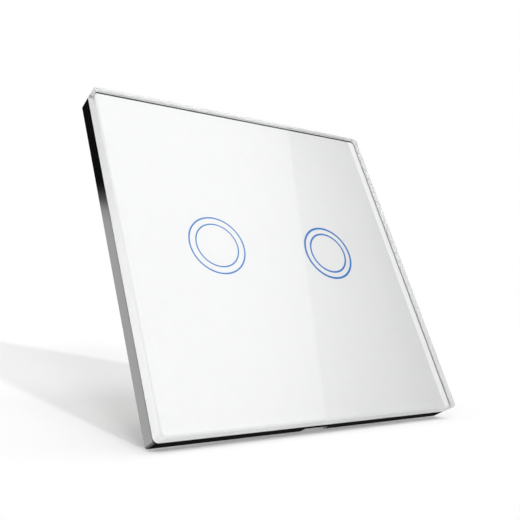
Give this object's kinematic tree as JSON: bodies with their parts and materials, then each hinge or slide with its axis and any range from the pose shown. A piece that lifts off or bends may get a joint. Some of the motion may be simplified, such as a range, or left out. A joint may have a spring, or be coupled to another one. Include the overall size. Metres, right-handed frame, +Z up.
{
  "type": "two-gang touch light switch",
  "caption": "Square wall light switch with a white glass touch plate on a black frame, ring-marked touch points, a steel yoke, relays and cage terminals in a rear case.",
  "frame": {"origin": "midpoint of the two wall box screw slots, on the wall's surface", "axes": "+Z up, +X to the right seen from the room, +Y into the wall"},
  "size_m": [0.086, 0.038, 0.086],
  "materials": {
    "glass": "polished float glass",
    "enamel": "fired white enamel",
    "ring_ink": "printed blue",
    "tape": "foam tape",
    "frame_black": "moulded gloss black",
    "yoke_steel": "galvanised",
    "screw_steel": "zinc plated",
    "spring_steel": "bright wire",
    "cover_white": "fine spark texture",
    "case_white": "fine spark texture",
    "guide_milky": "milky clear",
    "board_green": "solder mask",
    "chip_black": "moulded epoxy",
    "lamp_white": "moulded lens",
    "header_black": "moulded",
    "pin_plate": "plated",
    "relay_blue": "moulded",
    "relay_dark": "moulded",
    "bobbin_ivory": "moulded",
    "copper_wire": "enamelled copper wire",
    "soft_iron": "plated",
    "contact_brass": "stamped",
    "ferrite": "sintered",
    "coil_tape": "polyester tape",
    "can_sleeve": "shrunk sleeve",
    "film_yellow": "potted box",
    "disc_blue": "dipped epoxy",
    "fuse_brown": "moulded",
    "block_green": "moulded",
    "terminal_brass": "nickel flashed"
  },
  "bodies": {
    "front_panel": {"glass_panel": "glass", "enamel_backing": "enamel", "ring_print_left": "ring_ink", "ring_print_right": "ring_ink", "bonding_tape": "tape", "panel_frame": "frame_black"},
    "armature_left": {"relay_armature_left": "soft_iron"},
    "armature_right": {"relay_armature_right": "soft_iron"},
    "screw_1": {"terminal_screw_1": "screw_steel"},
    "cage_1": {"terminal_cage_1": "terminal_brass"},
    "screw_2": {"terminal_screw_2": "screw_steel"},
    "cage_2": {"terminal_cage_2": "terminal_brass"},
    "screw_3": {"terminal_screw_3": "screw_steel"},
    "cage_3": {"terminal_cage_3": "terminal_brass"},
    "screw_4": {"terminal_screw_4": "screw_steel"},
    "cage_4": {"terminal_cage_4": "terminal_brass"},
    "switch_module": {"mounting_yoke": "yoke_steel", "touch_cover": "cover_white", "case_screws": "screw_steel", "rear_case": "case_white", "light_guide_left": "guide_milky", "light_guide_right": "guide_milky", "touch_spring_left": "spring_steel", "touch_spring_right": "spring_steel", "touch_board": "board_green", "touch_chip": "chip_black", "gang_lamps": "lamp_white", "header_socket": "header_black", "header_strip": "header_black", "header_pins": "pin_plate", "power_board": "board_green", "transformer_plate": "relay_dark", "transformer_core": "ferrite", "transformer_coil": "coil_tape", "reservoir_capacitor": "can_sleeve", "film_capacitor": "film_yellow", "surge_disc": "disc_blue", "fuse_link": "fuse_brown", "terminal_block": "block_green", "terminal_tongues": "terminal_brass", "relay_base_left": "relay_dark", "relay_cover_left": "relay_blue", "relay_bobbin_left": "bobbin_ivory", "relay_winding_left": "copper_wire", "relay_iron_left": "soft_iron", "relay_contact_left": "contact_brass", "relay_base_right": "relay_dark", "relay_cover_right": "relay_blue", "relay_bobbin_right": "bobbin_ivory", "relay_winding_right": "copper_wire", "relay_iron_right": "soft_iron", "relay_contact_right": "contact_brass"}
  },
  "joints": [
    {"name": "front_panel_pull", "type": "slide", "parent": "switch_module", "child": "front_panel", "axis": [0, -1, 0], "range_m": [0, 0.025]},
    {"name": "armature_swing_left", "type": "hinge", "parent": "switch_module", "child": "armature_left", "pos_m": [-0.0149, 0.02425, 0.0044], "axis": [-1, 0, 0], "range_deg": [0, 4], "stiffness_Nm_per_rad": 0.01},
    {"name": "armature_swing_right", "type": "hinge", "parent": "switch_module", "child": "armature_right", "pos_m": [0.0149, 0.02425, 0.0044], "axis": [-1, 0, 0], "range_deg": [0, 4], "stiffness_Nm_per_rad": 0.01},
    {"name": "screw_turn_1", "type": "hinge", "parent": "switch_module", "child": "screw_1", "pos_m": [-0.0129, 0.0252, -0.0202], "axis": [0, -1, 0], "range_deg": [0, 2160]},
    {"name": "cage_lift_1", "type": "slide", "parent": "switch_module", "child": "cage_1", "axis": [0, 1, 0], "range_m": [0, 0.003]},
    {"name": "screw_turn_2", "type": "hinge", "parent": "switch_module", "child": "screw_2", "pos_m": [-0.0043, 0.0252, -0.0202], "axis": [0, -1, 0], "range_deg": [0, 2160]},
    {"name": "cage_lift_2", "type": "slide", "parent": "switch_module", "child": "cage_2", "axis": [0, 1, 0], "range_m": [0, 0.003]},
    {"name": "screw_turn_3", "type": "hinge", "parent": "switch_module", "child": "screw_3", "pos_m": [0.0043, 0.0252, -0.0202], "axis": [0, -1, 0], "range_deg": [0, 2160]},
    {"name": "cage_lift_3", "type": "slide", "parent": "switch_module", "child": "cage_3", "axis": [0, 1, 0], "range_m": [0, 0.003]},
    {"name": "screw_turn_4", "type": "hinge", "parent": "switch_module", "child": "screw_4", "pos_m": [0.0129, 0.0252, -0.0202], "axis": [0, -1, 0], "range_deg": [0, 2160]},
    {"name": "cage_lift_4", "type": "slide", "parent": "switch_module", "child": "cage_4", "axis": [0, 1, 0], "range_m": [0, 0.003]}
  ],
  "couplings": [
    {"joint": "screw_turn_1", "follows": "cage_lift_1", "rad_per_m": 12566},
    {"joint": "screw_turn_2", "follows": "cage_lift_2", "rad_per_m": 12566},
    {"joint": "screw_turn_3", "follows": "cage_lift_3", "rad_per_m": 12566},
    {"joint": "screw_turn_4", "follows": "cage_lift_4", "rad_per_m": 12566}
  ]
}
